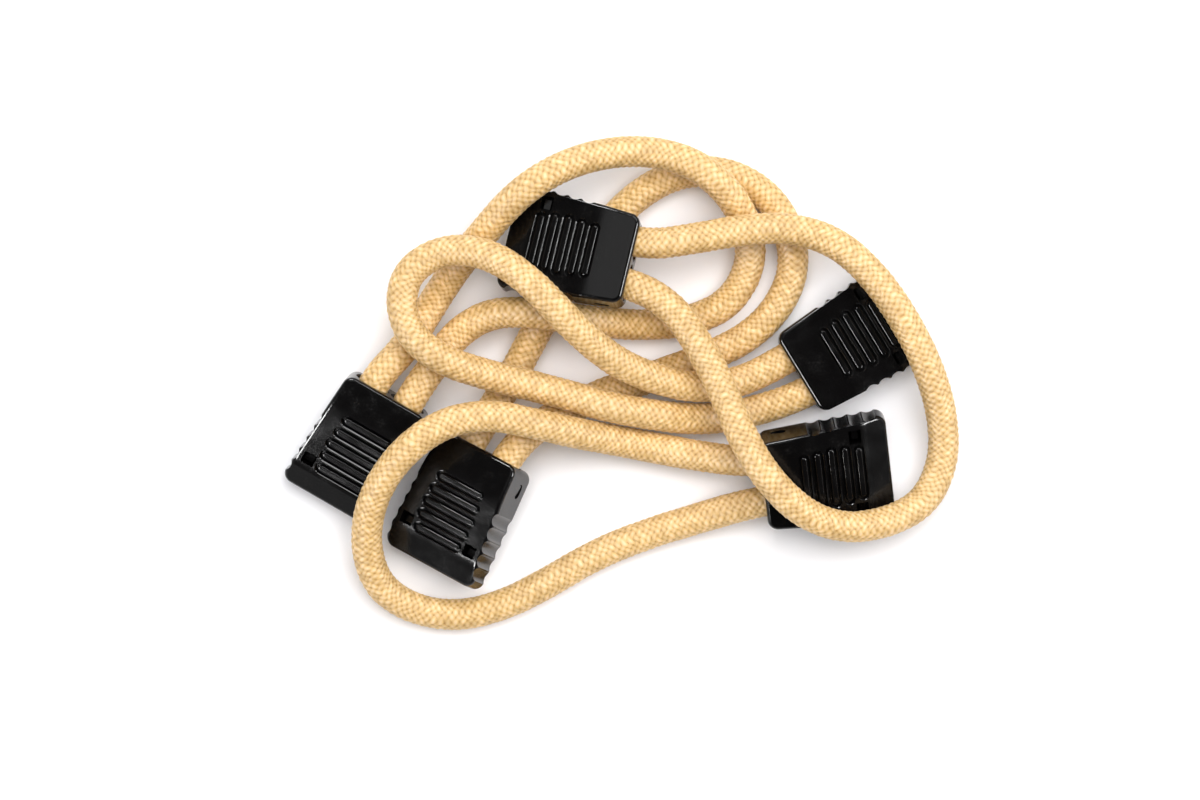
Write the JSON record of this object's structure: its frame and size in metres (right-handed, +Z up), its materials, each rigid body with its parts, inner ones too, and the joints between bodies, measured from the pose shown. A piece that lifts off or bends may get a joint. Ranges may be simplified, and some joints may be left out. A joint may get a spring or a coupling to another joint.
{
  "type": "cord zipper pulls",
  "caption": "Loose heap of zipper pulls: loops of round braided cord, each clamped in a wedge-shaped moulded grip with a ribbed face and scalloped flanks.",
  "frame": {"origin": "on the surface the heap lies on, under the middle of the box around the grips", "axes": "+X along the heap's longest side, +Y along its depth, +Z up from the surface"},
  "size_m": [0.084, 0.0616, 0.0143],
  "materials": {
    "grip_plastic": "glossy black injection-moulded plastic, fine grain",
    "cord_braid": "sand-coloured diamond braid of polyester yarn",
    "melted_cord": "cord end melted to a hard brown plug"
  },
  "bodies": {
    "root": {"pull_a_cover": "grip_plastic", "pull_a_lid": "grip_plastic", "pull_a_cord": "cord_braid", "pull_a_tip_left": "melted_cord", "pull_a_tip_right": "melted_cord", "pull_b_cover": "grip_plastic", "pull_b_lid": "grip_plastic", "pull_b_cord": "cord_braid", "pull_b_tip_left": "melted_cord", "pull_b_tip_right": "melted_cord", "pull_c_cover": "grip_plastic", "pull_c_lid": "grip_plastic", "pull_c_cord": "cord_braid", "pull_c_tip_left": "melted_cord", "pull_c_tip_right": "melted_cord", "pull_d_cover": "grip_plastic", "pull_d_lid": "grip_plastic", "pull_d_cord": "cord_braid", "pull_d_tip_left": "melted_cord", "pull_d_tip_right": "melted_cord", "pull_e_cover": "grip_plastic", "pull_e_lid": "grip_plastic", "pull_e_cord": "cord_braid", "pull_e_tip_left": "melted_cord", "pull_e_tip_right": "melted_cord"}
  },
  "joints": []
}
